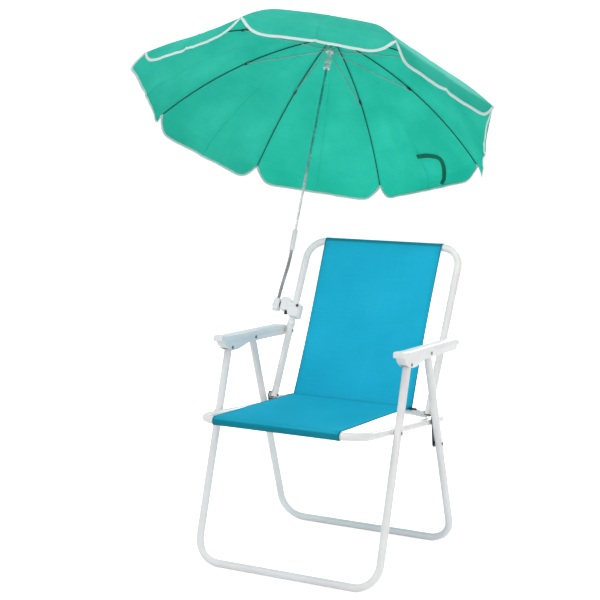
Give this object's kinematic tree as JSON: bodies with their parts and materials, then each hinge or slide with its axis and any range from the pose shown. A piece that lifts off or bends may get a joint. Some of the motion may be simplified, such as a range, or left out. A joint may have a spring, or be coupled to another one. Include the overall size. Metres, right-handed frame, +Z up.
{
  "type": "umbrella chair",
  "caption": "Folding sling chair in white tube with plastic armrests, a turquoise fabric seat and back, and a green umbrella clamped on through a bendable neck.",
  "frame": {"origin": "bottom centre of the whole model, umbrella included, on the floor", "axes": "+Z up, the chair faces -Y, +X is its right armrest in the picture (the side away from the umbrella clamp)"},
  "size_m": [1.0572, 1.2166, 1.3529],
  "materials": {
    "white_paint": "glossy powder coat",
    "white_plastic": "satin moulded",
    "dark_metal": "dark satin",
    "black_plastic": "satin",
    "rivet_steel": "dark oxidised",
    "grey_hose": "grey ribbed",
    "pole_steel": "polished",
    "turquoise_cloth": "tight woven",
    "canopy_cloth": "thin coated weave"
  },
  "bodies": {
    "rear_legs": {"rear_leg_frame": "white_paint", "link_leg_rivet_left": "rivet_steel", "link_leg_rivet_right": "rivet_steel"},
    "armrests": {"armrest_left": "white_plastic", "armrest_right": "white_plastic", "front_leg_rivet_left": "rivet_steel", "front_leg_rivet_right": "rivet_steel", "rear_leg_rivet_left": "rivet_steel", "rear_leg_rivet_right": "rivet_steel", "back_rivet_left": "rivet_steel", "back_rivet_right": "rivet_steel"},
    "front_legs": {"front_leg_frame": "white_paint"},
    "seat": {"seat_frame": "white_paint", "seat_fabric": "turquoise_cloth", "seat_rivet_left": "rivet_steel", "seat_rivet_right": "rivet_steel"},
    "back": {"back_frame": "white_paint", "back_cross_tube": "white_paint", "crease_rod": "black_plastic", "back_fabric": "turquoise_cloth", "link_back_rivet_left": "rivet_steel", "link_back_rivet_right": "rivet_steel", "clamp_body": "white_plastic", "clamp_jaw": "white_plastic", "clamp_bolt": "dark_metal", "tube_collar": "white_plastic", "tilt_disc": "black_plastic"},
    "links": {"link_plate_left": "dark_metal", "link_plate_right": "dark_metal"},
    "knob": {"clamp_knob": "black_plastic"},
    "socket": {"tilt_socket": "white_plastic", "gooseneck": "grey_hose"},
    "shaft": {"sleeve": "white_plastic", "pole": "pole_steel", "crown": "white_plastic"},
    "slider": {"runner": "white_plastic"},
    "stretcher_1": {"stretcher_1": "pole_steel"},
    "stretcher_2": {"stretcher_2": "pole_steel"},
    "stretcher_3": {"stretcher_3": "pole_steel"},
    "stretcher_4": {"stretcher_4": "pole_steel"},
    "stretcher_5": {"stretcher_5": "pole_steel"},
    "stretcher_6": {"stretcher_6": "pole_steel"},
    "stretcher_7": {"stretcher_7": "pole_steel"},
    "stretcher_8": {"stretcher_8": "pole_steel"},
    "rib_1": {"rib_1": "dark_metal", "canopy_section_1": "canopy_cloth"},
    "rib_2": {"rib_2": "dark_metal", "canopy_section_2": "canopy_cloth"},
    "rib_3": {"rib_3": "dark_metal", "canopy_section_3": "canopy_cloth"},
    "rib_4": {"rib_4": "dark_metal", "canopy_section_4": "canopy_cloth"},
    "rib_5": {"rib_5": "dark_metal", "canopy_section_5": "canopy_cloth"},
    "rib_6": {"rib_6": "dark_metal", "canopy_section_6": "canopy_cloth"},
    "rib_7": {"rib_7": "dark_metal", "canopy_section_7": "canopy_cloth"},
    "rib_8": {"rib_8": "dark_metal", "canopy_section_8": "canopy_cloth"}
  },
  "joints": [
    {"name": "armrests_turn", "type": "hinge", "parent": "rear_legs", "child": "armrests", "pos_m": [0.27209, -0.29366, 0.52008], "axis": [1, 0, 0], "range_deg": [-30.65, 0]},
    {"name": "front_legs_turn", "type": "hinge", "parent": "armrests", "child": "front_legs", "pos_m": [0.27209, -0.40846, 0.51108], "axis": [1, 0, 0], "range_deg": [0, 57.95]},
    {"name": "seat_turn", "type": "hinge", "parent": "front_legs", "child": "seat", "pos_m": [0.27209, -0.45604, 0.3575], "axis": [1, 0, 0], "range_deg": [-65.45, 0]},
    {"name": "chair_fold", "type": "hinge", "parent": "armrests", "child": "back", "pos_m": [0.27209, -0.14156, 0.51568], "axis": [1, 0, 0], "range_deg": [0, 66], "deforming": ["seat_fabric"]},
    {"name": "links_turn", "type": "hinge", "parent": "back", "child": "links", "pos_m": [0.27209, -0.22276, 0.35728], "axis": [1, 0, 0], "range_deg": [-145.35, 0]},
    {"name": "knob_turn", "type": "hinge", "parent": "back", "child": "knob", "pos_m": [0.03359, -0.12137, 0.56601], "axis": [0, 0.4562, 0.8899], "range_deg": [0, 180]},
    {"name": "socket_tilt", "type": "hinge", "parent": "back", "child": "socket", "pos_m": [-0.00031, -0.11096, 0.57648], "axis": [1, 0, 0], "range_deg": [-20, 30]},
    {"name": "gooseneck_bend", "type": "hinge", "parent": "socket", "child": "shaft", "pos_m": [0.00111, -0.06997, 0.65274], "axis": [1, 0, 0], "range_deg": [-20, 20], "deforming": ["gooseneck"]},
    {"name": "umbrella_close", "type": "slide", "parent": "shaft", "child": "slider", "axis": [0.0521, -0.4642, -0.8842], "range_m": [0, 0.44076], "deforming": ["canopy_section_1", "canopy_section_2", "canopy_section_3", "canopy_section_4", "canopy_section_5", "canopy_section_6", "canopy_section_7", "canopy_section_8"]},
    {"name": "stretcher_1_turn", "type": "hinge", "parent": "slider", "child": "stretcher_1", "pos_m": [-0.02862, 0.23335, 1.25845], "axis": [0.9979, 0.0588, 0.0279], "range_deg": [-82.05, 0]},
    {"name": "stretcher_2_turn", "type": "hinge", "parent": "slider", "child": "stretcher_2", "pos_m": [-0.0189, 0.23756, 1.25681], "axis": [0.678, 0.6665, -0.3099], "range_deg": [-82.05, 0]},
    {"name": "stretcher_3_turn", "type": "hinge", "parent": "slider", "child": "stretcher_3", "pos_m": [-0.01519, 0.24655, 1.25231], "axis": [-0.039, 0.8838, -0.4663], "range_deg": [-82.05, 0]},
    {"name": "stretcher_4_turn", "type": "hinge", "parent": "slider", "child": "stretcher_4", "pos_m": [-0.01967, 0.25505, 1.24758], "axis": [-0.7332, 0.5834, -0.3495], "range_deg": [-82.05, 0]},
    {"name": "stretcher_5_turn", "type": "hinge", "parent": "slider", "child": "stretcher_5", "pos_m": [-0.02971, 0.2581, 1.24539], "axis": [-0.9979, -0.0588, -0.0279], "range_deg": [-82.05, 0]},
    {"name": "stretcher_6_turn", "type": "hinge", "parent": "slider", "child": "stretcher_6", "pos_m": [-0.03943, 0.25389, 1.24703], "axis": [-0.678, -0.6665, 0.3099], "range_deg": [-82.05, 0]},
    {"name": "stretcher_7_turn", "type": "hinge", "parent": "slider", "child": "stretcher_7", "pos_m": [-0.04313, 0.2449, 1.25153], "axis": [0.039, -0.8838, 0.4663], "range_deg": [-82.05, 0]},
    {"name": "stretcher_8_turn", "type": "hinge", "parent": "slider", "child": "stretcher_8", "pos_m": [-0.03865, 0.23639, 1.25626], "axis": [0.7332, -0.5834, 0.3495], "range_deg": [-82.05, 0]},
    {"name": "rib_1_turn", "type": "hinge", "parent": "stretcher_1", "child": "rib_1", "pos_m": [-0.01771, 0.00587, 1.34752], "axis": [0.9979, 0.0588, 0.0279], "range_deg": [0, 142.04]},
    {"name": "rib_2_turn", "type": "hinge", "parent": "stretcher_2", "child": "rib_2", "pos_m": [0.16069, 0.08308, 1.3175], "axis": [0.678, 0.6665, -0.3099], "range_deg": [0, 142.04]},
    {"name": "rib_3_turn", "type": "hinge", "parent": "stretcher_3", "child": "rib_3", "pos_m": [0.22872, 0.24811, 1.23487], "axis": [-0.039, 0.8838, -0.4663], "range_deg": [0, 142.04]},
    {"name": "rib_4_turn", "type": "hinge", "parent": "stretcher_4", "child": "rib_4", "pos_m": [0.14652, 0.40429, 1.14803], "axis": [-0.7332, 0.5834, -0.3495], "range_deg": [0, 142.04]},
    {"name": "rib_5_turn", "type": "hinge", "parent": "stretcher_5", "child": "rib_5", "pos_m": [-0.03775, 0.46014, 1.10786], "axis": [-0.9979, -0.0588, -0.0279], "range_deg": [0, 142.04]},
    {"name": "rib_6_turn", "type": "hinge", "parent": "stretcher_6", "child": "rib_6", "pos_m": [-0.21616, 0.38293, 1.13788], "axis": [-0.678, -0.6665, 0.3099], "range_deg": [0, 142.04]},
    {"name": "rib_7_turn", "type": "hinge", "parent": "stretcher_7", "child": "rib_7", "pos_m": [-0.28419, 0.2179, 1.22051], "axis": [0.039, -0.8838, 0.4663], "range_deg": [0, 142.04]},
    {"name": "rib_8_turn", "type": "hinge", "parent": "stretcher_8", "child": "rib_8", "pos_m": [-0.20199, 0.06172, 1.30735], "axis": [0.7332, -0.5834, 0.3495], "range_deg": [0, 142.04]}
  ],
  "couplings": [
    {"joint": "armrests_turn", "follows": "chair_fold", "ratio": -0.46364},
    {"joint": "front_legs_turn", "follows": "chair_fold", "ratio": 0.87727},
    {"joint": "seat_turn", "follows": "chair_fold", "ratio": -0.99091},
    {"joint": "links_turn", "follows": "chair_fold", "ratio": -2.2015},
    {"joint": "stretcher_1_turn", "follows": "umbrella_close", "rad_per_m": -3.2468},
    {"joint": "stretcher_2_turn", "follows": "umbrella_close", "rad_per_m": -3.2468},
    {"joint": "stretcher_3_turn", "follows": "umbrella_close", "rad_per_m": -3.2468},
    {"joint": "stretcher_4_turn", "follows": "umbrella_close", "rad_per_m": -3.2468},
    {"joint": "stretcher_5_turn", "follows": "umbrella_close", "rad_per_m": -3.2468},
    {"joint": "stretcher_6_turn", "follows": "umbrella_close", "rad_per_m": -3.2468},
    {"joint": "stretcher_7_turn", "follows": "umbrella_close", "rad_per_m": -3.2468},
    {"joint": "stretcher_8_turn", "follows": "umbrella_close", "rad_per_m": -3.2468},
    {"joint": "rib_1_turn", "follows": "umbrella_close", "rad_per_m": 5.6227},
    {"joint": "rib_2_turn", "follows": "umbrella_close", "rad_per_m": 5.6227},
    {"joint": "rib_3_turn", "follows": "umbrella_close", "rad_per_m": 5.6227},
    {"joint": "rib_4_turn", "follows": "umbrella_close", "rad_per_m": 5.6227},
    {"joint": "rib_5_turn", "follows": "umbrella_close", "rad_per_m": 5.6227},
    {"joint": "rib_6_turn", "follows": "umbrella_close", "rad_per_m": 5.6227},
    {"joint": "rib_7_turn", "follows": "umbrella_close", "rad_per_m": 5.6227},
    {"joint": "rib_8_turn", "follows": "umbrella_close", "rad_per_m": 5.6227}
  ]
}
